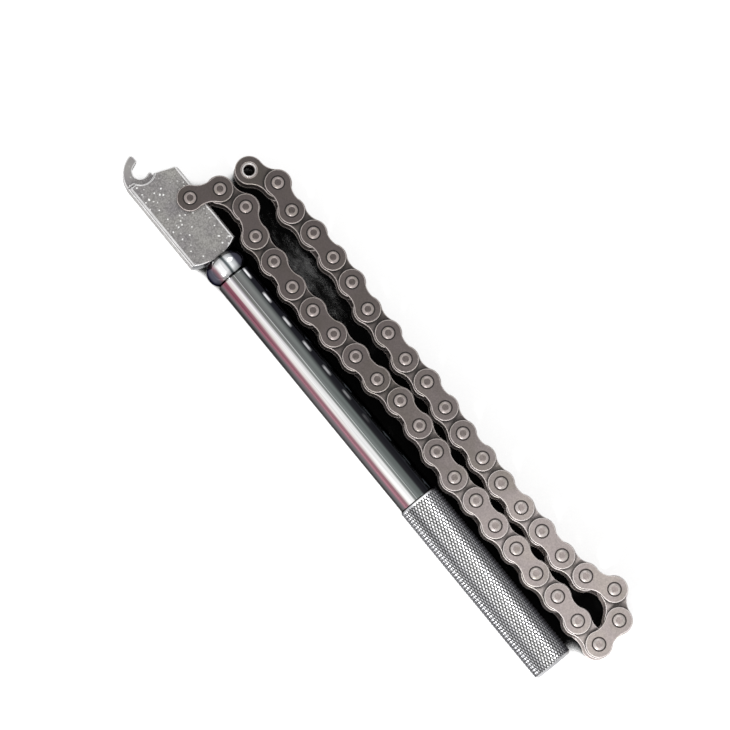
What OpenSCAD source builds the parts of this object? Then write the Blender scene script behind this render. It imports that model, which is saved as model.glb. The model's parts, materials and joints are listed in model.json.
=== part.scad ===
// Chain pipe wrench, lying flat with its bush chain doubled back beside the handle.
// The handle's axis is X, with the grip's end face at zero and the head towards -X.
// The chain lies on the +Y side, and all its hinges turn about Z.

/* [Chain links] */
// Distance from one chain pin to the next
pitch = 12.7; // [11.8:0.1:14]
// Height of an inner plate across its eye
inner_plate_h = 11.8; // [10.6:0.1:12]
// Height of an inner plate at its waist
inner_waist_h = 8.7; // [7.6:0.1:9.6]
// Thickness of an inner plate
inner_plate_t = 1.6; // [1.2:0.1:2]
// Height of an outer plate across its eye
outer_plate_h = 10.9; // [9.8:0.1:11.4]
// Height of an outer plate at its waist
outer_waist_h = 7.8; // [7:0.1:8.8]
// Thickness of an outer plate
outer_plate_t = 1.6; // [1.2:0.1:2]
// Clear width between the two inner plates
inner_width = 7.75; // [7.4:0.05:8.4]

/* [Pins and bushes] */
// Diameter of a chain pin
pin_d = 4.45; // [4:0.05:4.8]
// Diameter of a pin's riveted head
rivet_head_d = 5; // [4.9:0.1:5.6]
// How far a riveted head stands out of its plate
rivet_head_h = 0.5; // [0.45:0.05:1.2]
// Slope at the rim of a riveted head
rivet_slope = 0.35; // [0.2:0.05:0.4]
// Outside diameter of a bush
bush_d = 6.3; // [6:0.1:6.8]
// How far a bush stands out of its inner plate
bush_stand_out = 0.1; // [0.05:0.05:0.15]
// Radial clearance of a pin in its bush and in the head
pin_play = 0.05; // [0.03:0.01:0.1]
// Clearance between an inner and an outer plate
plate_play = 0.24; // [0.2:0.02:0.4]
// Clearance of a pressed pin, bush or shank in its hole
press_gap = 0.01; // [0.005:0.005:0.02]

/* [Head] */
// Thickness of the head
head_t = 11; // [10:0.1:11.4]
// Head's edge on the chain side, from the handle's axis
chain_side_w = 9.9; // [9.4:0.1:10.4]
// Head's edge on the hook side, from the handle's axis
hook_side_w = 11.5; // [11:0.1:13]
// Length of the head's block, from its shoulder to its front corner
block_len = 39.8; // [36:0.2:41]
// How far the front edge leans forward towards the hook
front_lean = 3.3; // [3:0.1:5]
// Height of the cut at the front corner
corner_cut_h = 1; // [0.5:0.1:2]
// Length of the cut at the front corner
corner_cut_len = 1.5; // [0.5:0.1:2]
// Bevel along the two long edges of the faces
edge_bevel = 0.9; // [0.4:0.1:1.4]
// Length over which the turned shoulder rounds the faces off
shoulder_len = 4; // [3:0.5:5]
// Radius of the shoulder where the turning starts
shoulder_r = 13.1; // [12.8:0.1:14]

/* [Hook] */
// Radius of the hook's back
hook_back_r = 11.1; // [10.8:0.1:11.4]
// Centre of the hook's back, forward of the lip
hook_back_forward = 0.7; // [0:0.1:2]
// Thickness of the hook, thin enough to pass between the inner plates
hook_t = 7.2; // [6:0.1:7.5]
// Clearance of the hook's slot around a bush
slot_play = 0.1; // [0.05:0.05:0.2]
// Lean of the slot towards the hook's tip, in degrees
slot_lean = 22; // [15:1:28]
// Bottom of the slot's rounding, its centre forward of the front edge
slot_forward = 4.1; // [3.8:0.1:4.6]
// Centre of the slot's rounding, from the handle's axis towards the hook's side
slot_side = 2.9; // [2.6:0.1:3.4]
// Top of the hook's tip, from the handle's axis towards the hook's side
tip_side = 1.5; // [1:0.1:2]
// Radius of the tip's outer corner
tip_r = 1.2; // [0.8:0.1:1.6]
// Width of the lip beside the slot
lip_w = 1.5; // [1.2:0.1:2]
// Top of the lip, from the handle's axis towards the chain
lip_side = 0.3; // [0.1:0.1:0.8]
// Radius of the lip's rounded corner
lip_r = 1.1; // [0.6:0.1:1.4]
// Clearance of the thinned hook around an inner plate's eye
eye_clearance = 0.2; // [0.1:0.1:0.6]
// Width of the slope from the thin hook up to the head's face
thinned_slope = 1; // [0.6:0.1:2]
// Reach of the thin hook across the head, forward of the front edge
thinned_forward = 1.6; // [1:0.1:3]

/* [Anchor] */
// Anchor pin, forward of the shoulder
anchor_forward = 25.6; // [24:0.2:27]
// Anchor pin, from the handle's axis towards the chain
anchor_side = 5.4; // [5:0.1:5.6]

/* [Neck] */
// Length of the neck from the shoulder to the handle
neck_len = 9.4; // [9:0.1:11]
// Largest diameter of the bead
bead_d = 18.6; // [18:0.1:18.8]
// Radius of the bead's rounding along the handle
bead_round_r = 6; // [5.4:0.1:6.4]
// Bead's middle, forward of the handle's end
bead_forward = 4.2; // [3.8:0.1:4.8]
// Diameter of the shank inside the handle
shank_d = 9.2; // [8:0.1:10]
// Length of the shank inside the handle
shank_len = 28; // [20:1:36]

/* [Handle] */
// Length of the whole handle
handle_len = 204.4; // [196:0.2:206]
// Diameter of the smooth part
shaft_d = 16.4; // [15.6:0.1:16.8]
// Bevel at the handle's front end
front_bevel = 0.7; // [0.4:0.1:1]
// Length of the knurled grip
grip_len = 86; // [80:1:92]
// Diameter of the knurled grip
grip_d = 18; // [17.4:0.1:18.4]
// Length of the step up to the grip
grip_step = 1; // [0.6:0.1:2]
// Bevel at the grip's end
end_bevel = 1.1; // [0.6:0.1:1.6]
// Bottom of the socket for the shank, past the shank's end
socket_past = 2; // [1:0.5:4]

/* [Hidden] */
$fn = 96;
// one overrun serves all cuts
over = 1;

// heading of each link in degrees from the handle's axis, for the chain as it lies in two strands
near_angles = [68, 16, -21, -3, -4, 2, 2, 5, 4, 8, -2, -6, -5, 4, -2, 3, -1, 4, 0, 3];
bend_angles = [100, 149, 206];
far_angles = [190, 180, 182, 180, 177, 179, 175, 176, 184, 174, 181, 171, 178, 179, 185, 167, 206];
heading_angles = concat(near_angles, bend_angles, far_angles);
link_count = len(heading_angles);

// places along the handle's axis
handle_x = -handle_len;
shoulder_x = handle_x - neck_len;
front_x = shoulder_x - block_len;
lip_x = front_x - front_lean;
slot_at = [lip_x - slot_forward, -slot_side];
hook_at = [lip_x - hook_back_forward, hook_back_r - hook_side_w];
far_x = hook_at[0] - 2 * hook_back_r;
anchor_at = [shoulder_x - anchor_forward, anchor_side];

// heights above the chain's middle plane
inner_z = inner_width / 2;
inner_face_z = inner_z + inner_plate_t;
outer_z = inner_face_z + plate_play;
outer_face_z = outer_z + outer_plate_t;
bush_z = inner_face_z + bush_stand_out;

// radii that fit one in another
pin_r = pin_d / 2;
bush_r = bush_d / 2;
bush_bore_r = pin_r + pin_play;
slot_r = bush_r + slot_play;
thinned_r = inner_plate_h / 2 + eye_clearance;

// where each chain pin stands
function direction(i) = [cos(heading_angles[i]), sin(heading_angles[i])];
function pin_at(i) = i == 0 ? anchor_at : pin_at(i - 1) + pitch * direction(i - 1);

function link_name(i) = str("link_", i < 10 ? "0" : "", i);
middle_links = [for (i = [2 : link_count - 1]) i];

zinc = [0.62, 0.62, 0.60];
chrome = [0.80, 0.81, 0.83];
plate_colour = [0.45, 0.41, 0.40];
pin_colour = [0.52, 0.48, 0.47];

// turns a profile of [radius, place along X] about the handle's axis
module turned() {
    rotate([0, 90, 0])
        rotate_extrude()
            children();
}

// moves a link that is drawn along X from the origin to its place in the chain
module at_link(i) {
    translate(pin_at(i - 1))
        rotate(heading_angles[i - 1])
            children();
}

// figure-eight outline whose waist is cut by two arcs tangent to its eyes
module plate_outline(eye_h, waist_h) {
    eye_r = eye_h / 2;
    waist = waist_h / 2;
    arc_r = (pow(pitch / 2, 2) + pow(waist, 2) - pow(eye_r, 2)) / (2 * (eye_r - waist));
    arc_y = waist + arc_r;
    touch_y = eye_r * arc_y / (eye_r + arc_r);
    for (x = [0, pitch])
        translate([x, 0])
            circle(eye_r);
    difference() {
        translate([0, -touch_y])
            square([pitch, 2 * touch_y]);
        for (side = [-1, 1])
            translate([pitch / 2, side * arc_y])
                circle(arc_r);
    }
}

module plate(eye_h, waist_h, thickness, hole_r) {
    linear_extrude(thickness)
        difference() {
            plate_outline(eye_h, waist_h);
            for (x = [0, pitch])
                translate([x, 0])
                    circle(hole_r);
        }
}

module inner_plate(level) {
    color(plate_colour)
        translate([0, 0, level > 0 ? inner_z : -inner_face_z])
            plate(inner_plate_h, inner_waist_h, inner_plate_t, bush_r + press_gap);
}

module outer_plate(level) {
    color(plate_colour)
        translate([0, 0, level > 0 ? outer_z : -outer_face_z])
            plate(outer_plate_h, outer_waist_h, outer_plate_t, pin_r + press_gap);
}

// pin with a riveted head on the outer face of each outer plate
module chain_pin() {
    head_r = rivet_head_d / 2;
    seat_z = outer_face_z + press_gap;
    top_z = outer_face_z + rivet_head_h;
    color(pin_colour)
        rotate_extrude()
            polygon([
                [0, -top_z],
                [head_r - rivet_slope, -top_z],
                [head_r, rivet_slope - top_z],
                [head_r, -seat_z],
                [pin_r, -seat_z],
                [pin_r, seat_z],
                [head_r, seat_z],
                [head_r, top_z - rivet_slope],
                [head_r - rivet_slope, top_z],
                [0, top_z]
            ]);
}

module bush() {
    color(plate_colour)
        translate([0, 0, -bush_z])
            linear_extrude(2 * bush_z)
                difference() {
                    circle(bush_r);
                    circle(bush_bore_r);
                }
}

// two plates riveted on two pins
module outer_link() {
    for (level = [-1, 1])
        outer_plate(level);
    for (x = [0, pitch])
        translate([x, 0])
            chain_pin();
}

// two plates pressed on two bushes
module inner_link() {
    for (level = [-1, 1])
        inner_plate(level);
    for (x = [0, pitch])
        translate([x, 0])
            bush();
}

// odd links are outer links and even ones are inner links
module middle_link(i) {
    at_link(i)
        if (i % 2 == 1)
            outer_link();
        else
            inner_link();
}

// the hook's round back, cut off at the tip, whose outer corner is rounded
module hook_outline() {
    corner_y = -tip_side - tip_r;
    reach = hook_back_r - tip_r;
    corner_x = hook_at[0] - sqrt(pow(reach, 2) - pow(corner_y - hook_at[1], 2));
    corner = [corner_x, corner_y];
    outward = (corner - hook_at) / reach;
    intersection() {
        translate(hook_at)
            circle(hook_back_r);
        polygon([
            corner + 2 * tip_r * outward,
            corner,
            corner + [0, tip_r],
            [lip_x, -tip_side],
            [lip_x, -hook_side_w],
            [far_x, -hook_side_w]
        ]);
    }
    translate(corner)
        circle(tip_r);
}

// low lip between the slot and the front edge, with its corner rounded
module lip_outline() {
    translate([lip_x - lip_w, -hook_side_w])
        square([lip_w, hook_side_w + lip_side - lip_r]);
    translate([lip_x - lip_w + lip_r, -lip_r])
        square([lip_w - lip_r, lip_r + lip_side]);
    translate([lip_x - lip_w + lip_r, lip_side - lip_r])
        circle(lip_r);
}

// outline of the head from above: the block, the hook and the lip, less the slot
module head_outline() {
    difference() {
        union() {
            polygon([
                [shoulder_x + bead_forward, -hook_side_w],
                [lip_x, -hook_side_w],
                [lip_x, lip_side],
                [front_x, chain_side_w - corner_cut_h],
                [front_x + corner_cut_len, chain_side_w],
                [shoulder_x + bead_forward, chain_side_w]
            ]);
            hook_outline();
            lip_outline();
        }
        translate(slot_at)
            rotate(slot_lean) {
                circle(slot_r);
                translate([-slot_r, 0])
                    square([2 * slot_r, hook_side_w]);
            }
    }
}

// cross-section of the block, with its four long edges bevelled
module block_section() {
    half_t = head_t / 2;
    polygon([
        [-half_t, -hook_side_w + edge_bevel],
        [-half_t + edge_bevel, -hook_side_w],
        [half_t - edge_bevel, -hook_side_w],
        [half_t, -hook_side_w + edge_bevel],
        [half_t, chain_side_w - edge_bevel],
        [half_t - edge_bevel, chain_side_w],
        [-half_t + edge_bevel, chain_side_w],
        [-half_t, chain_side_w - edge_bevel]
    ]);
}

// turns the block's rear end to a ball about the handle's axis
module shoulder_cut() {
    ball_back = (pow(shoulder_r, 2) + pow(shoulder_len, 2) - pow(head_t / 2, 2)) / (2 * shoulder_len);
    ball_r = norm([ball_back, head_t / 2]);
    translate([shoulder_x - ball_back, 0, 0])
        difference() {
            rotate([0, 90, 0])
                cylinder(h = ball_back + neck_len + over, r = ball_r + over);
            sphere(ball_r);
        }
}

module head_block() {
    difference() {
        intersection() {
            translate([0, 0, -head_t / 2])
                linear_extrude(head_t)
                    head_outline();
            translate([far_x, 0, 0])
                rotate([0, 90, 0])
                    linear_extrude(handle_x - far_x)
                        block_section();
        }
        shoulder_cut();
    }
}

// both faces are taken down over the hook and around the slot, so that the inner plates pass
module hook_thinning() {
    step = (head_t - hook_t) / 2;
    edge_x = lip_x - thinned_forward;
    for (side = [-1, 1])
        translate([0, 0, side * hook_t / 2])
            mirror([0, 0, side < 0 ? 1 : 0]) {
                translate(slot_at)
                    cylinder(h = step + over, r = thinned_r);
                translate([0, hook_side_w + over, 0])
                    rotate([90, 0, 0])
                        linear_extrude(2 * (hook_side_w + over))
                            polygon([
                                [far_x, 0],
                                [edge_x, 0],
                                [edge_x + thinned_slope, step],
                                [edge_x + thinned_slope, step + over],
                                [far_x, step + over]
                            ]);
            }
}

// rounded bead that the handle's end butts against
module bead() {
    turned()
        intersection() {
            union() {
                translate([bead_d / 2 - bead_round_r, handle_x - bead_forward])
                    circle(bead_round_r);
                translate([0, shoulder_x - shoulder_len])
                    square([bead_d / 2 - bead_round_r, shoulder_len + neck_len]);
            }
            translate([0, shoulder_x - shoulder_len])
                square([bead_d / 2, shoulder_len + neck_len]);
        }
}

module head() {
    color(zinc)
        difference() {
            union() {
                difference() {
                    head_block();
                    hook_thinning();
                }
                bead();
                translate([shoulder_x, 0, 0])
                    rotate([0, 90, 0])
                        cylinder(h = neck_len + shank_len, d = shank_d);
            }
            translate([anchor_at[0], anchor_at[1], -head_t])
                cylinder(h = 2 * head_t, r = bush_bore_r);
        }
}

module handle() {
    shaft_r = shaft_d / 2;
    grip_r = grip_d / 2;
    socket_r = shank_d / 2 + press_gap;
    socket_end = handle_x + shank_len + socket_past;
    color(chrome)
        turned()
            polygon([
                [socket_r, handle_x],
                [shaft_r - front_bevel, handle_x],
                [shaft_r, handle_x + front_bevel],
                [shaft_r, -grip_len - grip_step],
                [grip_r, -grip_len],
                [grip_r, -end_bevel],
                [grip_r - end_bevel, 0],
                [0, 0],
                [0, socket_end],
                [socket_r, socket_end]
            ]);
}

module anchor_plate_top() {
    at_link(1)
        outer_plate(1);
}

module anchor_plate_bottom() {
    at_link(1)
        outer_plate(-1);
}

module anchor_pin() {
    at_link(1)
        chain_pin();
}

module first_chain_pin() {
    at_link(1)
        translate([pitch, 0])
            chain_pin();
}

module end_plate_top() {
    at_link(link_count)
        inner_plate(1);
}

module end_plate_bottom() {
    at_link(link_count)
        inner_plate(-1);
}

module end_bush_hinge() {
    at_link(link_count)
        bush();
}

module end_bush_open() {
    at_link(link_count)
        translate([pitch, 0])
            bush();
}

head();
handle();
anchor_plate_top();
anchor_plate_bottom();
anchor_pin();
first_chain_pin();
for (i = middle_links)
    middle_link(i);
end_plate_top();
end_plate_bottom();
end_bush_hinge();
end_bush_open();
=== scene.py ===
"""Chain pipe wrench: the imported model's looks, in metres, in the model's own frame."""
import json
import math

import bmesh
import bpy
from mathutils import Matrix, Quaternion, Vector

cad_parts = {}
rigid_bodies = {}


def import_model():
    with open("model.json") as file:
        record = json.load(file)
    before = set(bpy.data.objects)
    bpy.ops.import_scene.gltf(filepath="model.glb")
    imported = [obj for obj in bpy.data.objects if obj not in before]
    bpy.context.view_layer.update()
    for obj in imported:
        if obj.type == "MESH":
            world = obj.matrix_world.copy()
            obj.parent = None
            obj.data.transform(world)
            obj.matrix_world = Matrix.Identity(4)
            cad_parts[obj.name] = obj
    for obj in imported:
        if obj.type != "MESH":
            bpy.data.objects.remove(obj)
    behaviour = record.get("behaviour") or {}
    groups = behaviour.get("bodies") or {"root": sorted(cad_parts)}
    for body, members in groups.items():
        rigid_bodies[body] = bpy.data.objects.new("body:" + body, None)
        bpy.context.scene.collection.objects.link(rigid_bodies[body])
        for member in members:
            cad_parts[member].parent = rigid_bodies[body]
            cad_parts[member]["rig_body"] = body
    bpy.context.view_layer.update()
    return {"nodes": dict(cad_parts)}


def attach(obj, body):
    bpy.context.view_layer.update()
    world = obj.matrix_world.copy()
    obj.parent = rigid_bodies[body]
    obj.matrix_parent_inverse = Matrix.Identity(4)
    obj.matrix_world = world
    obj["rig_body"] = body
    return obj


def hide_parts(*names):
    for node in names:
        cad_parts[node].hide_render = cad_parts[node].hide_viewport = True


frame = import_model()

MM = 0.001

# sizes repeated from the part's source, in millimetres
PITCH = 12.7
SHAFT_R = 8.2
GRIP_R = 9.0
GRIP_LEN = 86.0
END_BEVEL = 1.1
NECK_X = -213.9
SHOULDER_X = -217.9
OUTER_FACE_Z = 7.315
INNER_FACE_Z = 5.475
RIVET_TOP_Z = 7.815

# limits that tell the parts of a piece apart, in millimetres
SMOOTH_HOOK_X = -262.333
ROUGH_BLOCK_X = -259.0
HEAD_FLAT_Z = 3.4
HEAD_FACE_Z = 5.45
BETWEEN_PLATES_Z = 3.7
GRIP_STEP_X = -86.8
RIVET_R = 2.45
RIVET_DISH_R = 1.34

# widths of the worn rims, reach of the painted shade in the inner plates' corners and length that the painted
# light and tones run over, in millimetres
PLATE_RIM = 0.36
HEAD_RIM = 0.42
CORNER_SHADE_REACH = 1.7
TONED_LEN = 270.0

# half a pin's outline: (height above the outer plate's face, radius)
PIN_HEAD = [(-0.005, 2.225), (-0.005, 3.02), (0.008, 3.04), (0.012, 2.46), (0.09, 2.42), (0.22, 2.18),
            (0.37, 1.80), (0.47, 1.50), (0.50, 1.38), (0.49, 1.28), (0.42, 1.14), (0.39, 0.60), (0.40, 0.0)]
PIN_STEPS = 28
BAR_STEPS = 128

# metres within which points of a mesh are merged, and degrees up to which faces are shaded as one
MERGE_REACH = 0.000002
SMOOTH_ANGLE = 32
PIN_SMOOTH_ANGLE = 50

# the studio and the camera, in metres and degrees
FLOOR_Z = -0.0094
FLOOR_SIZE = 6
PAINTED_SHADE_REACH = 0.06
WORLD_LEVEL = 0.28
BACKGROUND_LEVEL = 1.0
LAMPS_AIM = (-0.10, 0.01, 0)
LAMPS = [
    # name, place from the aim, size, power
    ("key lamp", (0.36, -0.49, 0.44), 0.16, 5.0),
    ("far lamp", (-0.45, 0.40, 0.60), 0.35, 0.8)]
CAMERA_AIM = (-0.14247, 0.01826, 0)
CAMERA_DISTANCE = 2.0
CAMERA_ELEVATION = 82
CAMERA_AZIMUTH = 20
CAMERA_ROLL = 30.78
CAMERA_LENS = 243.1


def deselect_all():
    for item in bpy.context.selected_objects:
        item.select_set(False)


def make_active(piece):
    deselect_all()
    piece.select_set(True)
    bpy.context.view_layer.objects.active = piece


def new_material(name):
    material = bpy.data.materials.new(name)
    material.use_nodes = True
    tree = material.node_tree
    return material, tree, tree.nodes["Principled BSDF"]


def add_node(tree, kind, **values):
    node = tree.nodes.new(kind)
    for key, value in values.items():
        setattr(node, key, value)
    return node


def noise(tree, vector, scale, detail=3.0, roughness=0.5):
    node = add_node(tree, "ShaderNodeTexNoise")
    node.inputs["Scale"].default_value = scale
    node.inputs["Detail"].default_value = detail
    node.inputs["Roughness"].default_value = roughness
    tree.links.new(vector, node.inputs["Vector"])
    return node.outputs["Fac"]


def ramp(tree, value, stops):
    node = add_node(tree, "ShaderNodeValToRGB")
    elements = node.color_ramp.elements
    while len(elements) < len(stops):
        elements.new(0.5)
    for element, (place, shade) in zip(elements, stops):
        element.position = place
        element.color = (*shade, 1.0) if isinstance(shade, tuple) else (shade, shade, shade, 1.0)
    tree.links.new(value, node.inputs["Fac"])
    return node.outputs["Color"]


def mix_colour(tree, amount, first, second):
    node = add_node(tree, "ShaderNodeMix", data_type="RGBA")
    for socket, value in ((node.inputs["Factor"], amount), (node.inputs[6], first), (node.inputs[7], second)):
        if isinstance(value, (tuple, float)):
            socket.default_value = (*value, 1.0) if isinstance(value, tuple) else value
        else:
            tree.links.new(value, socket)
    return node.outputs[2]


def multiplied(tree, first, second):
    node = add_node(tree, "ShaderNodeMix", data_type="RGBA", blend_type="MULTIPLY")
    node.inputs["Factor"].default_value = 1.0
    tree.links.new(first, node.inputs[6])
    tree.links.new(second, node.inputs[7])
    return node.outputs[2]


def arithmetic(tree, operation, first, second):
    node = add_node(tree, "ShaderNodeMath", operation=operation)
    for socket, value in ((node.inputs[0], first), (node.inputs[1], second)):
        if isinstance(value, (int, float)):
            socket.default_value = value
        else:
            tree.links.new(value, socket)
    return node.outputs[0]


def build_steel_mottle():
    """Group of soft blotches and fine grain, for every metal of the wrench."""
    group = bpy.data.node_groups.new("steel mottle", "ShaderNodeTree")
    face = group.interface
    for name, start in (("Blotch Scale", 90.0), ("Grain Scale", 1500.0)):
        face.new_socket(name=name, in_out="INPUT", socket_type="NodeSocketFloat").default_value = start
    face.new_socket(name="Vector", in_out="INPUT", socket_type="NodeSocketVector")
    for name in ("Blotch", "Grain"):
        face.new_socket(name=name, in_out="OUTPUT", socket_type="NodeSocketFloat")
    into = group.nodes.new("NodeGroupInput")
    out = group.nodes.new("NodeGroupOutput")
    for name, detail in (("Blotch", 2.0), ("Grain", 4.0)):
        texture = group.nodes.new("ShaderNodeTexNoise")
        texture.inputs["Detail"].default_value = detail
        group.links.new(into.outputs["Vector"], texture.inputs["Vector"])
        group.links.new(into.outputs[name + " Scale"], texture.inputs["Scale"])
        group.links.new(texture.outputs["Fac"], out.inputs[name])
    return group


def build_places():
    """Group that tells how far a point lies along the tool, across it and out from its axis."""
    group = bpy.data.node_groups.new("places on the tool", "ShaderNodeTree")
    group.interface.new_socket(name="Vector", in_out="INPUT", socket_type="NodeSocketVector")
    for name in ("Along", "Across", "Radius"):
        group.interface.new_socket(name=name, in_out="OUTPUT", socket_type="NodeSocketFloat")
    into = group.nodes.new("NodeGroupInput")
    out = group.nodes.new("NodeGroupOutput")
    split = group.nodes.new("ShaderNodeSeparateXYZ")
    group.links.new(into.outputs["Vector"], split.inputs[0])
    for name, low, high in (("Along", -TONED_LEN * MM, 0.0), ("Across", -GRIP_R * MM, GRIP_R * MM)):
        span = group.nodes.new("ShaderNodeMapRange")
        span.inputs["From Min"].default_value = low
        span.inputs["From Max"].default_value = high
        group.links.new(split.outputs["X" if name == "Along" else "Y"], span.inputs["Value"])
        group.links.new(span.outputs["Result"], out.inputs[name])
    flat = group.nodes.new("ShaderNodeVectorMath")
    flat.operation = "MULTIPLY"
    flat.inputs[1].default_value = (0.0, 1.0 / (GRIP_R * MM), 1.0 / (GRIP_R * MM))
    group.links.new(into.outputs["Vector"], flat.inputs[0])
    reach = group.nodes.new("ShaderNodeVectorMath")
    reach.operation = "LENGTH"
    group.links.new(flat.outputs["Vector"], reach.inputs[0])
    group.links.new(reach.outputs["Value"], out.inputs["Radius"])
    return group


STEEL_MOTTLE = build_steel_mottle()
PLACES = build_places()


def placed(tree, vector):
    node = tree.nodes.new("ShaderNodeGroup")
    node.node_tree = PLACES
    tree.links.new(vector, node.inputs["Vector"])
    return node.outputs["Along"], node.outputs["Across"], node.outputs["Radius"]


def mottled(tree, vector, blotch_scale, grain_scale):
    node = tree.nodes.new("ShaderNodeGroup")
    node.node_tree = STEEL_MOTTLE
    node.inputs["Blotch Scale"].default_value = blotch_scale
    node.inputs["Grain Scale"].default_value = grain_scale
    tree.links.new(vector, node.inputs["Vector"])
    return node.outputs["Blotch"], node.outputs["Grain"]


def place_of(tree):
    return add_node(tree, "ShaderNodeTexCoord").outputs["Object"]


def bumped(tree, shader, height, strength, distance):
    node = add_node(tree, "ShaderNodeBump")
    node.inputs["Strength"].default_value = strength
    node.inputs["Distance"].default_value = distance
    tree.links.new(height, node.inputs["Height"])
    tree.links.new(node.outputs["Normal"], shader.inputs["Normal"])


# painted light: how much paler the steel is painted from the head's end of the chain to the grip's, where
# more light falls, and its faint changes of hue
PAINTED_LIGHT_ALONG = [(0.30, 0.0), (0.47, 0.07), (0.64, 0.22), (0.78, 0.66), (0.92, 0.72), (1.0, 0.78)]
STEEL_PATCHES = [(0.32, (0.86, 0.85, 0.80)), (0.5, (1.0, 0.97, 0.98)), (0.68, (1.06, 1.04, 1.0))]


def worn_steel(name, dark, light, dull, shiny, metal, blotch_scale, shaded_corners=False):
    """Steel that is dark towards the head and paler towards the grip's end as painted light, with blotches
    and grain, and where asked with painted shade in its corners.
    """
    material, tree, shader = new_material(name)
    place = place_of(tree)
    blotch, grain = mottled(tree, place, blotch_scale, 1700.0)
    along = placed(tree, place)[0]
    # painted light: paler towards the grip's end of the tool
    painted_light = ramp(tree, along, PAINTED_LIGHT_ALONG)
    tone = mix_colour(tree, painted_light, dark, light)
    patches = ramp(tree, blotch, STEEL_PATCHES)
    fine = multiplied(tree, multiplied(tree, tone, patches), ramp(tree, grain, [(0.32, 0.84), (0.68, 1.12)]))
    if shaded_corners:
        # painted shade: the inner plates go near black in the corners under the outer plates, standing in for
        # their contact shadow
        corner = add_node(tree, "ShaderNodeAmbientOcclusion")
        corner.samples = 8
        corner.inputs["Distance"].default_value = CORNER_SHADE_REACH * MM
        painted_corner_shade = ramp(tree, corner.outputs["AO"], [(0.56, 0.03), (0.72, 0.40), (0.90, 1.0)])
        fine = multiplied(tree, fine, painted_corner_shade)
    tree.links.new(fine, shader.inputs["Base Color"])
    tree.links.new(ramp(tree, grain, [(0.3, shiny), (0.7, dull)]), shader.inputs["Roughness"])
    shader.inputs["Metallic"].default_value = metal
    shader.inputs["Specular IOR Level"].default_value = 0.35
    bumped(tree, shader, grain, 0.12, 0.00005)
    return material


def warped(tree, vector, scale, reach):
    """The same places, each shifted a little, so that a pattern on them looks uneven."""
    drift = add_node(tree, "ShaderNodeTexNoise")
    drift.inputs["Scale"].default_value = scale
    drift.inputs["Detail"].default_value = 2.0
    tree.links.new(vector, drift.inputs["Vector"])
    shift = add_node(tree, "ShaderNodeVectorMath", operation="MULTIPLY_ADD")
    tree.links.new(drift.outputs["Color"], shift.inputs[0])
    shift.inputs[1].default_value = (reach, reach, reach)
    tree.links.new(vector, shift.inputs[2])
    return shift.outputs["Vector"]


def cast_zinc():
    """Rough plated casting: pebbled faces with bright flecks painted as highlights, and a smoother hook."""
    material, tree, shader = new_material("cast zinc")
    place = place_of(tree)
    blotch, grain = mottled(tree, place, 120.0, 900.0)
    split = add_node(tree, "ShaderNodeSeparateXYZ")
    tree.links.new(place, split.inputs[0])
    past_hook = add_node(tree, "ShaderNodeMapRange")
    past_hook.inputs["From Min"].default_value = SMOOTH_HOOK_X * MM
    past_hook.inputs["From Max"].default_value = ROUGH_BLOCK_X * MM
    tree.links.new(split.outputs["X"], past_hook.inputs["Value"])
    rough_part = ramp(tree, past_hook.outputs["Result"], [(0.0, 0.15), (1.0, 1.0)])
    place = warped(tree, place, 700.0, 0.0009)
    pebble = add_node(tree, "ShaderNodeTexVoronoi", feature="SMOOTH_F1")
    pebble.inputs["Scale"].default_value = 1500.0
    pebble.inputs["Smoothness"].default_value = 0.6
    tree.links.new(place, pebble.inputs["Vector"])
    # painted highlights: small white flecks stand in for the glints of the plated, pebbled faces
    glint_specks = add_node(tree, "ShaderNodeTexVoronoi", feature="F1")
    glint_specks.inputs["Scale"].default_value = 520.0
    tree.links.new(place, glint_specks.inputs["Vector"])
    spot = ramp(tree, glint_specks.outputs["Distance"], [(0.12, 1.0), (0.24, 0.0)])
    where = ramp(tree, noise(tree, place, 260.0, 1.0), [(0.44, 0.0), (0.50, 1.0)])
    painted_speck_glint = arithmetic(tree, "MULTIPLY", arithmetic(tree, "MULTIPLY", spot, where), rough_part)
    base = ramp(tree, blotch, [(0.3, (0.275, 0.26, 0.265)), (0.7, (0.37, 0.36, 0.34))])
    pits = ramp(tree, pebble.outputs["Distance"], [(0.1, 1.10), (0.75, 0.66)])
    grey = add_node(tree, "ShaderNodeMix", data_type="RGBA", blend_type="MULTIPLY")
    tree.links.new(rough_part, grey.inputs["Factor"])
    tree.links.new(base, grey.inputs[6])
    tree.links.new(pits, grey.inputs[7])
    tree.links.new(mix_colour(tree, painted_speck_glint, grey.outputs[2], (0.95, 0.95, 0.93)), shader.inputs["Base Color"])
    tree.links.new(ramp(tree, grain, [(0.3, 0.38), (0.7, 0.55)]), shader.inputs["Roughness"])
    shader.inputs["Metallic"].default_value = 0.7
    height = arithmetic(tree, "MULTIPLY", pebble.outputs["Distance"], rough_part)
    height = arithmetic(tree, "SUBTRACT", arithmetic(tree, "MULTIPLY", grain, 0.25), height)
    bumped(tree, shader, height, 0.5, 0.0002)
    return material


def smooth_metal(name, dark, light, shiny, dull, metal):
    """Smoothly worked metal: bright bevels, bushes, the turned shoulder and the grip's end."""
    material, tree, shader = new_material(name)
    blotch, grain = mottled(tree, place_of(tree), 150.0, 1400.0)
    tree.links.new(ramp(tree, blotch, [(0.3, dark), (0.7, light)]), shader.inputs["Base Color"])
    tree.links.new(ramp(tree, grain, [(0.3, shiny), (0.7, dull)]), shader.inputs["Roughness"])
    shader.inputs["Metallic"].default_value = metal
    return material


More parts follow.
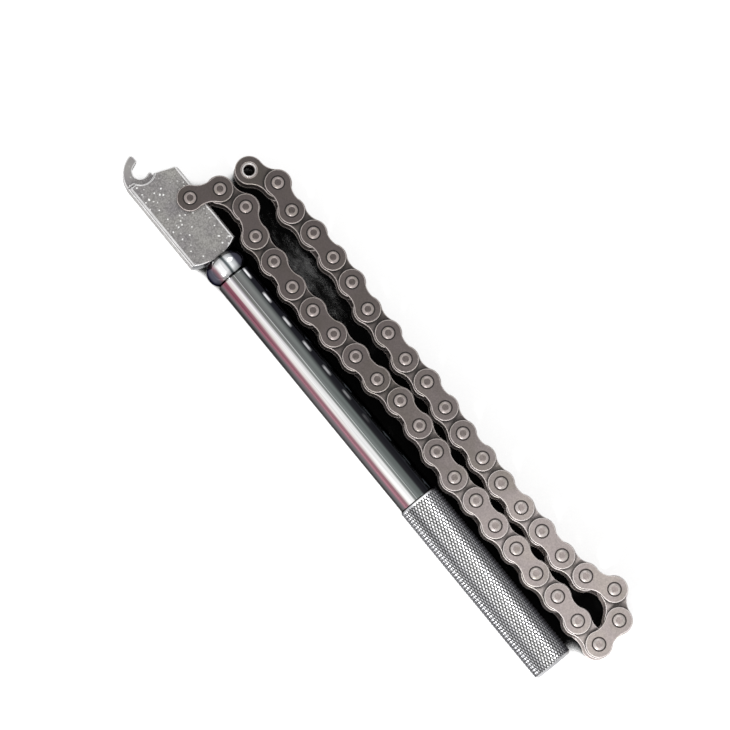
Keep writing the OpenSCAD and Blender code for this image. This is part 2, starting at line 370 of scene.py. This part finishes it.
def bright_bar(name, bands, dull, shiny, by_radius=None, by_place=None, near_bands=None):
    """Plated steel whose colour holds painted reflections: light and dark bands along the bar, with white
    painted glints of the chain's links near the head where near bands are given, toned darker as painted
    shade by the radius or by the place along it.
    """
    material, tree, shader = new_material(name)
    place = place_of(tree)
    along, across, radius = placed(tree, place)
    stretch = add_node(tree, "ShaderNodeMapping")
    stretch.inputs["Scale"].default_value = (16.0, 600.0, 600.0)
    tree.links.new(place, stretch.inputs["Vector"])
    streak = noise(tree, stretch.outputs["Vector"], 1.0, 2.0)
    wander = arithmetic(tree, "ADD", arithmetic(tree, "MULTIPLY", streak, 0.05), across)
    tone = ramp(tree, wander, bands)
    if near_bands:
        near_head = ramp(tree, along, [(0.28, 1.0), (0.50, 0.0)])
        tone = mix_colour(tree, near_head, tone, ramp(tree, wander, near_bands))
        # painted reflections: white glints, one for each link of the chain beside the bar, near the head
        links = arithmetic(tree, "MODULO", arithmetic(tree, "MULTIPLY", along, TONED_LEN / PITCH), 1.0)
        painted_glint = ramp(tree, links, [(0.20, 0.0), (0.32, 1.0), (0.52, 1.0), (0.66, 0.0)])
        for spread in (ramp(tree, wander, [(0.71, 0.0), (0.73, 1.0), (0.755, 1.0), (0.78, 0.0)]),
                       ramp(tree, along, [(0.25, 1.0), (0.55, 0.0)])):
            painted_glint = arithmetic(tree, "MULTIPLY", painted_glint, spread)
        tone = mix_colour(tree, painted_glint, tone, (0.95, 0.95, 0.97))
    tone = multiplied(tree, tone, ramp(tree, streak, [(0.35, 0.80), (0.50, 1.0)]))
    for measure, stops in ((radius, by_radius), (along, by_place)):
        if stops:
            tone = multiplied(tree, tone, ramp(tree, measure, stops))
    tree.links.new(tone, shader.inputs["Base Color"])
    shader.inputs["Specular Tint"].default_value = (0.35, 0.35, 0.35, 1.0)
    tree.links.new(ramp(tree, streak, [(0.3, shiny), (0.7, dull)]), shader.inputs["Roughness"])
    shader.inputs["Metallic"].default_value = 1.0
    bumped(tree, shader, streak, 0.10, 0.00004)
    return material


# painted reflections: light and dark bands from the bare side of the bar to the chain's side, as polished
# chrome shows them
CHROME_PAINTED_REFLECTIONS = [
    (0.06, (0.06, 0.06, 0.06)), (0.10, (0.10, 0.10, 0.10)), (0.14, (0.13, 0.11, 0.12)),
    (0.18, (0.28, 0.13, 0.16)), (0.22, (0.32, 0.16, 0.19)), (0.26, (0.84, 0.78, 0.76)),
    (0.30, (1.0, 1.0, 1.0)), (0.39, (0.98, 0.98, 0.98)), (0.42, (0.27, 0.29, 0.28)),
    (0.455, (0.24, 0.26, 0.25)), (0.465, (0.72, 0.74, 0.73)), (0.475, (0.20, 0.22, 0.215)),
    (0.62, (0.13, 0.15, 0.145)), (0.67, (0.02, 0.02, 0.023)), (0.78, (0.010, 0.010, 0.013)),
    (0.86, (0.04, 0.045, 0.05)), (0.92, (0.010, 0.010, 0.012))]
# the same painted reflections where the bar meets the head
NEAR_HEAD_PAINTED_REFLECTIONS = [
    (0.04, (0.05, 0.05, 0.05)), (0.10, (0.08, 0.08, 0.08)), (0.14, (0.13, 0.10, 0.11)),
    (0.175, (0.21, 0.07, 0.10)), (0.245, (0.25, 0.09, 0.12)), (0.28, (0.97, 0.93, 0.90)),
    (0.345, (1.0, 0.98, 1.0)), (0.38, (0.45, 0.42, 0.45)), (0.42, (0.15, 0.15, 0.145)),
    (0.455, (0.20, 0.205, 0.19)), (0.465, (0.80, 0.80, 0.82)), (0.475, (0.14, 0.14, 0.14)),
    (0.60, (0.21, 0.22, 0.215)), (0.67, (0.10, 0.11, 0.11)), (0.70, (0.015, 0.015, 0.02))]
# the same painted reflections over the knurled grip
GRIP_PAINTED_REFLECTIONS = [
    (0.03, (0.16, 0.16, 0.17)), (0.12, (0.38, 0.38, 0.39)), (0.26, (0.66, 0.66, 0.68)),
    (0.36, (1.0, 1.0, 1.0)), (0.52, (1.0, 1.0, 1.0)), (0.64, (0.85, 0.85, 0.87)),
    (0.78, (0.55, 0.55, 0.57)), (0.92, (0.08, 0.08, 0.09))]
# the same painted reflections round the bead
BEAD_PAINTED_REFLECTIONS = [
    (0.02, (0.02, 0.02, 0.03)), (0.14, (0.10, 0.10, 0.13)), (0.22, (0.30, 0.16, 0.19)),
    (0.30, (0.97, 0.97, 0.97)), (0.44, (0.93, 0.93, 0.95)), (0.48, (0.10, 0.12, 0.13)),
    (0.52, (0.12, 0.14, 0.15)), (0.56, (0.95, 0.96, 0.97)), (0.66, (0.62, 0.64, 0.66)),
    (0.74, (0.05, 0.05, 0.07)), (1.00, (0.015, 0.015, 0.02))]

PLATE = worn_steel("plate steel", (0.105, 0.088, 0.084), (0.60, 0.54, 0.52), 0.56, 0.44, 0.12, 70.0)
INNER = worn_steel("inner plate steel", (0.100, 0.086, 0.080), (0.68, 0.62, 0.60), 0.58, 0.46, 0.1, 70.0,
                   shaded_corners=True)
RIM = worn_steel("worn rim", (0.54, 0.49, 0.47), (0.94, 0.89, 0.87), 0.42, 0.32, 0.10, 200.0)
SLOPE = worn_steel("rivet slope", (0.40, 0.355, 0.34), (0.62, 0.58, 0.56), 0.36, 0.28, 0.30, 300.0)
PIN = worn_steel("pin steel", (0.115, 0.098, 0.094), (0.52, 0.46, 0.44), 0.38, 0.26, 0.6, 400.0)
# painted shade: near black for the plates' side walls and the ring round each pin, where the gaps lie in
# shade
PAINTED_SHADE_SIDE = worn_steel("painted shade side", (0.020, 0.017, 0.016), (0.060, 0.050, 0.048), 0.50, 0.36, 0.3, 120.0)
BUSH = smooth_metal("bright bush", (0.45, 0.43, 0.42), (0.65, 0.64, 0.63), 0.22, 0.34, 0.9)
ZINC = cast_zinc()
EDGE = smooth_metal("machined edge", (0.62, 0.61, 0.61), (0.86, 0.85, 0.85), 0.20, 0.32, 0.6)
# painted reflection: the turned shoulder is coloured near black, as its chrome mirrors dark surroundings
DARK_MIRROR_SHOULDER = smooth_metal("turned shoulder", (0.045, 0.046, 0.052), (0.12, 0.122, 0.13), 0.22, 0.32, 0.9)
GRIP_END = smooth_metal("turned grip end", (0.36, 0.36, 0.37), (0.46, 0.46, 0.47), 0.30, 0.40, 0.8)
# painted reflections in the chrome's colour, with white glints of the chain's links near the head
CHROME = bright_bar("polished chrome", CHROME_PAINTED_REFLECTIONS, 0.17, 0.08, near_bands=NEAR_HEAD_PAINTED_REFLECTIONS)
# painted shade: the bead's colour darkens towards both its ends
BEAD = bright_bar("chrome bead", BEAD_PAINTED_REFLECTIONS, 0.15, 0.08,
                  by_place=[(0.208, 0.25), (0.214, 0.55), (0.220, 1.0), (0.234, 1.0), (0.241, 0.3)])
# painted shade: the knurl's colour darkens down into its grooves
KNURL = bright_bar("knurled steel", GRIP_PAINTED_REFLECTIONS, 0.44, 0.32,
                   by_radius=[(0.954, 0.02), (0.965, 0.45), (0.982, 1.0)])


def merged_copy(node, name):
    """A copy of a CAD node with its loose triangles merged back into faces."""
    piece = bpy.data.objects.new(name, frame["nodes"][node].data.copy())
    bpy.context.scene.collection.objects.link(piece)
    piece.data.materials.clear()
    make_active(piece)
    bpy.ops.object.mode_set(mode="EDIT")
    bpy.ops.mesh.select_all(action="SELECT")
    bpy.ops.mesh.remove_doubles(threshold=MERGE_REACH)
    bpy.ops.mesh.dissolve_limited(angle_limit=math.radians(0.5))
    bpy.ops.object.mode_set(mode="OBJECT")
    return piece


def bevelled(piece, width, rims, slot_index):
    """Rounds the edges that rims picks by their two ends, in millimetres, and their angle in degrees."""
    weights = piece.data.attributes.new("bevel_weight_edge", "FLOAT", "EDGE")
    solid = bmesh.new()
    solid.from_mesh(piece.data)
    solid.edges.ensure_lookup_table()
    for edge in solid.edges:
        if len(edge.link_faces) == 2:
            first, second = (vertex.co / MM for vertex in edge.verts)
            if rims(first, second, math.degrees(edge.calc_face_angle(0.0))):
                weights.data[edge.index].value = 1.0
    solid.free()
    bevel = piece.modifiers.new("bevel", "BEVEL")
    bevel.width = width * MM
    bevel.segments = 3
    bevel.limit_method = "WEIGHT"
    bevel.material = slot_index
    bevel.use_clamp_overlap = False
    bpy.ops.object.modifier_apply(modifier=bevel.name)
    even_shading(piece)


def even_shading(piece):
    """Smooth shading that keeps large faces flat."""
    bpy.ops.object.shade_smooth_by_angle(angle=math.radians(SMOOTH_ANGLE))
    weigh = piece.modifiers.new("flat faces", "WEIGHTED_NORMAL")
    weigh.keep_sharp = True
    weigh.weight = 100
    bpy.ops.object.modifier_apply(modifier=weigh.name)


def stand_for(piece, node):
    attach(piece, frame["nodes"][node]["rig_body"])
    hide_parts(node)


def pin_centres(piece):
    """Where the riveted heads of a piece stand, in metres."""
    tops = [v.co.to_2d() for v in piece.data.vertices if v.co.z > RIVET_TOP_Z * MM - 0.00001]
    if not tops:
        return []
    middle = sum(tops, Vector((0, 0))) / len(tops)
    far = max(tops, key=lambda spot: (spot - middle).length)
    if (far - middle).length < 0.003:
        return [middle]
    far_side = [spot for spot in tops if (spot - middle).dot(far - middle) > 0]
    near_side = [spot for spot in tops if (spot - middle).dot(far - middle) <= 0]
    return [sum(side, Vector((0, 0))) / len(side) for side in (far_side, near_side)]


def plate_rim(first, second, angle):
    """Every sharp edge of a plate or bush."""
    return angle > 50


def head_rim(first, second, angle):
    """The outline of the head's flat faces, but not the slope into the hook."""
    level = abs(first.z - second.z) < 0.02 and abs(first.z) > HEAD_FLAT_Z
    return angle > 25 and level and max(first.x, second.x) < NECK_X - 0.3


def take_out_pins(piece):
    """Deletes the plain CAD pins of a copy, each a solid that reaches above the outer plates."""
    bpy.ops.object.mode_set(mode="EDIT")
    bpy.ops.mesh.select_all(action="DESELECT")
    bpy.ops.object.mode_set(mode="OBJECT")
    for vertex in piece.data.vertices:
        vertex.select = abs(vertex.co.z) > (OUTER_FACE_Z + 0.02) * MM
    bpy.ops.object.mode_set(mode="EDIT")
    bpy.ops.mesh.select_linked()
    bpy.ops.mesh.delete(type="VERT")
    bpy.ops.object.mode_set(mode="OBJECT")


def riveted_pin():
    """One pin about the Z axis, with a peened, dished head on a thin ring of painted shade at each end."""
    lower_half = [(-OUTER_FACE_Z - height, radius) for height, radius in reversed(PIN_HEAD)]
    upper_half = [(OUTER_FACE_Z + height, radius) for height, radius in PIN_HEAD]
    pin = turned_piece("riveted_pin", lower_half + upper_half, PIN_STEPS)
    for vertex in pin.data.vertices:
        vertex.co = Vector((vertex.co.y, vertex.co.z, vertex.co.x))
    for material in (PAINTED_SHADE_SIDE, SLOPE, PIN):
        pin.data.materials.append(material)
    for face in pin.data.polygons:
        reach = face.center.to_2d().length / MM
        face.material_index = 0 if reach > RIVET_R else 1 if reach > RIVET_DISH_R else 2
    make_active(pin)
    bpy.ops.object.shade_smooth_by_angle(angle=math.radians(PIN_SMOOTH_ANGLE))
    return pin


def add_pins(piece, centres):
    deselect_all()
    for centre in centres:
        pin = bpy.data.objects.new("pin", RIVETED_PIN.data.copy())
        bpy.context.scene.collection.objects.link(pin)
        for vertex in pin.data.vertices:
            vertex.co += centre.to_3d()
        pin.select_set(True)
    piece.select_set(True)
    bpy.context.view_layer.objects.active = piece
    bpy.ops.object.join()


def dress_chain_piece(node):
    """Plates, pins and bushes of one chain node, with rounded rims."""
    piece = merged_copy(node, node + "_dressed")
    centres = pin_centres(piece)
    is_outer = bool(centres) or "anchor_plate" in node
    for material in (PLATE if is_outer else INNER, RIM, PIN, BUSH, PAINTED_SHADE_SIDE):
        piece.data.materials.append(material)
    take_out_pins(piece)
    bevelled(piece, PLATE_RIM, plate_rim, 1)
    for face in piece.data.polygons:
        height = abs(face.center.z) / MM
        slope = abs(face.normal.z)
        if height < BETWEEN_PLATES_Z:
            face.material_index = 2
        elif not is_outer and height > INNER_FACE_Z + 0.03:
            face.material_index = 3
        # painted shade on the plates' side walls
        elif slope < 0.3 and face.material_index == 0:
            face.material_index = 4
    if centres:
        add_pins(piece, centres)
    stand_for(piece, node)


def dress_head():
    piece = merged_copy("head", "head_dressed")
    for material in (ZINC, EDGE, BEAD, DARK_MIRROR_SHOULDER):
        piece.data.materials.append(material)
    bevelled(piece, HEAD_RIM, head_rim, 1)
    for face in piece.data.polygons:
        if face.center.x > NECK_X * MM:
            face.material_index = 2
        elif (face.material_index == 0 and face.center.x > SHOULDER_X * MM
              and abs(face.center.z) < HEAD_FACE_Z * MM):
            face.material_index = 3
    stand_for(piece, "head")


def turned_piece(name, outline, steps):
    """A closed profile of (place along X, radius), spun about the handle's axis."""
    bpy.ops.mesh.primitive_plane_add(size=2 * MM, location=(0, 0, 0))
    piece = bpy.context.active_object
    piece.name = name
    make_active(piece)
    bpy.ops.object.mode_set(mode="EDIT")
    bpy.ops.mesh.select_all(action="SELECT")
    bpy.ops.mesh.delete(type="VERT")
    bpy.ops.object.mode_set(mode="OBJECT")
    mesh = piece.data
    mesh.vertices.add(len(outline))
    for vertex, (x, r) in zip(mesh.vertices, outline):
        vertex.co = (x * MM, 0.0, r * MM)
    mesh.edges.add(len(outline) - 1)
    for index, edge in enumerate(mesh.edges):
        edge.vertices = (index, index + 1)
    bpy.ops.object.mode_set(mode="EDIT")
    bpy.ops.mesh.select_all(action="SELECT")
    bpy.ops.mesh.spin(steps=steps, angle=math.tau, center=(0, 0, 0), axis=(1, 0, 0))
    bpy.ops.mesh.select_all(action="SELECT")
    bpy.ops.mesh.remove_doubles(threshold=MERGE_REACH / 2)
    bpy.ops.mesh.normals_make_consistent(inside=False)
    bpy.ops.object.mode_set(mode="OBJECT")
    return piece


def knurl_band():
    """Diamond knurling: one tile of two diamonds, repeated along the grip and spun round it."""
    around = 42
    along = 29
    start = -GRIP_LEN + 0.4
    length = GRIP_LEN - 0.4 - END_BEVEL
    depth = 0.46
    half_angle = math.pi / around
    bpy.ops.mesh.primitive_grid_add(x_subdivisions=2, y_subdivisions=2, size=2, location=(0, 0, 0))
    piece = bpy.context.active_object
    piece.name = "knurl_band"
    make_active(piece)
    bpy.ops.object.mode_set(mode="EDIT")
    bpy.ops.mesh.select_all(action="DESELECT")
    bpy.ops.object.mode_set(mode="OBJECT")
    for vertex in piece.data.vertices:
        vertex.select = (abs(vertex.co.x) < 0.5) != (abs(vertex.co.y) < 0.5)
    bpy.ops.object.mode_set(mode="EDIT")
    bpy.ops.mesh.vert_connect()
    bpy.ops.object.mode_set(mode="OBJECT")
    step = length / along
    for vertex in piece.data.vertices:
        low = (abs(vertex.co.x) < 0.5) != (abs(vertex.co.y) < 0.5)
        radius = GRIP_R - (depth if low else 0.0)
        angle = vertex.co.y * half_angle
        vertex.co = ((start + (vertex.co.x + 1) * step / 2) * MM,
                     radius * math.sin(angle) * MM, radius * math.cos(angle) * MM)
    row = piece.modifiers.new("row", "ARRAY")
    row.count = along
    row.use_relative_offset = False
    row.use_constant_offset = True
    row.constant_offset_displace = (step * MM, 0, 0)
    row.use_merge_vertices = True
    row.merge_threshold = MERGE_REACH
    bpy.ops.object.modifier_apply(modifier=row.name)
    bpy.ops.object.mode_set(mode="EDIT")
    bpy.ops.mesh.select_all(action="SELECT")
    bpy.ops.mesh.spin(steps=around, angle=math.tau, center=(0, 0, 0), axis=(1, 0, 0), dupli=True)
    bpy.ops.mesh.select_all(action="SELECT")
    bpy.ops.mesh.remove_doubles(threshold=MERGE_REACH)
    bpy.ops.mesh.normals_make_consistent(inside=False)
    bpy.ops.object.mode_set(mode="OBJECT")
    return piece


def dress_handle():
    bar = turned_piece("handle_bar", [
        (-203.7, 0.0), (-203.7, 4.7), (-204.25, 4.9), (-204.4, 5.2), (-204.4, 7.35), (-204.3, 7.55),
        (-203.8, 8.05), (-203.6, 8.17), (-203.4, SHAFT_R), (-170, SHAFT_R), (-130, SHAFT_R), (-87.2, SHAFT_R),
        (-86.9, 8.26), (-86.15, 8.86), (-85.9, 8.96), (-85.6, 8.94), (-85.55, 8.3),
        (-1.15, 8.3), (-1.12, 8.88), (-1.0, 8.9), (-0.12, 8.02), (0, 7.8), (0, 0.0)], BAR_STEPS)
    for material in (CHROME, KNURL, GRIP_END):
        bar.data.materials.append(material)
    for face in bar.data.polygons:
        along = face.center.x / MM
        face.material_index = 2 if along > -END_BEVEL else 1 if along > GRIP_STEP_X else 0
    make_active(bar)
    even_shading(bar)
    band = knurl_band()
    band.data.materials.append(KNURL)
    deselect_all()
    band.select_set(True)
    bar.select_set(True)
    bpy.context.view_layer.objects.active = bar
    bpy.ops.object.join()
    stand_for(bar, "handle")


def seen_directly(tree):
    """1 for rays from the camera or by way of gloss or glass, and 0 for the light that falls on things."""
    path = add_node(tree, "ShaderNodeLightPath")
    seen = arithmetic(tree, "MAXIMUM", path.outputs["Is Camera Ray"], path.outputs["Is Glossy Ray"])
    return arithmetic(tree, "MAXIMUM", seen, path.outputs["Is Transmission Ray"])


def build_studio():
    """Pale floor, darkened as painted shade where the tool closes it in, white surround and soft lamps."""
    bpy.ops.mesh.primitive_plane_add(size=FLOOR_SIZE, location=(0, 0, FLOOR_Z))
    floor = bpy.context.active_object
    floor.name = "floor"
    material, tree, shader = new_material("studio floor")
    # painted shade: the floor's colour goes near black where the tool closes it in, and its white lift fades
    # out there
    open_sky = add_node(tree, "ShaderNodeAmbientOcclusion")
    open_sky.samples = 32
    open_sky.inputs["Distance"].default_value = PAINTED_SHADE_REACH
    tree.links.new(ramp(tree, open_sky.outputs["AO"], [(0.34, 0.01), (0.40, 0.30), (0.45, 0.92)]),
                   shader.inputs["Base Color"])
    shader.inputs["Roughness"].default_value = 0.9
    shader.inputs["Specular IOR Level"].default_value = 0.1
    shader.inputs["Emission Color"].default_value = (1, 1, 1, 1)
    lift = arithmetic(tree, "MULTIPLY", ramp(tree, open_sky.outputs["AO"], [(0.37, 0.0), (0.45, 0.70)]),
                      seen_directly(tree))
    tree.links.new(lift, shader.inputs["Emission Strength"])
    floor.data.materials.append(material)

    world = bpy.data.worlds.new("studio")
    bpy.context.scene.world = world
    world.use_nodes = True
    tree = world.node_tree
    back = tree.nodes["Background"]
    level = add_node(tree, "ShaderNodeMix", data_type="FLOAT")
    tree.links.new(seen_directly(tree), level.inputs["Factor"])
    level.inputs[2].default_value = WORLD_LEVEL
    level.inputs[3].default_value = BACKGROUND_LEVEL
    back.inputs["Color"].default_value = (1, 1, 1, 1)
    tree.links.new(level.outputs[0], back.inputs["Strength"])

    centre = Vector(LAMPS_AIM)
    for name, place, size, power in LAMPS:
        light = bpy.data.lights.new(name, "AREA")
        light.size = size
        light.energy = power
        lamp = bpy.data.objects.new(name, light)
        bpy.context.scene.collection.objects.link(lamp)
        lamp.location = centre + Vector(place)
        lamp.rotation_mode = "QUATERNION"
        lamp.rotation_quaternion = (centre - lamp.location).to_track_quat("-Z", "Y")


def place_camera():
    """Nearly straight above, rolled so that the handle runs down to the lower right as in the photograph."""
    elevation = math.radians(CAMERA_ELEVATION)
    azimuth = math.radians(CAMERA_AZIMUTH)
    back = Vector((math.sin(azimuth) * math.cos(elevation), -math.cos(azimuth) * math.cos(elevation),
                   math.sin(elevation)))
    data = bpy.data.cameras.new("camera")
    data.sensor_width = 36
    data.lens = CAMERA_LENS
    camera = bpy.data.objects.new("camera", data)
    bpy.context.scene.collection.objects.link(camera)
    camera.location = Vector(CAMERA_AIM) + back * CAMERA_DISTANCE
    camera.rotation_mode = "QUATERNION"
    rolled = Quaternion((0, 0, 1), math.radians(CAMERA_ROLL))
    camera.rotation_quaternion = (-back).to_track_quat("-Z", "Y") @ rolled
    bpy.context.scene.camera = camera


deselect_all()
RIVETED_PIN = riveted_pin()
for node_name in frame["nodes"]:
    if node_name not in ("head", "handle"):
        dress_chain_piece(node_name)
bpy.data.objects.remove(RIVETED_PIN)
dress_head()
dress_handle()
build_studio()
place_camera()
scene = bpy.context.scene
scene.view_settings.view_transform = "Standard"
deselect_all()
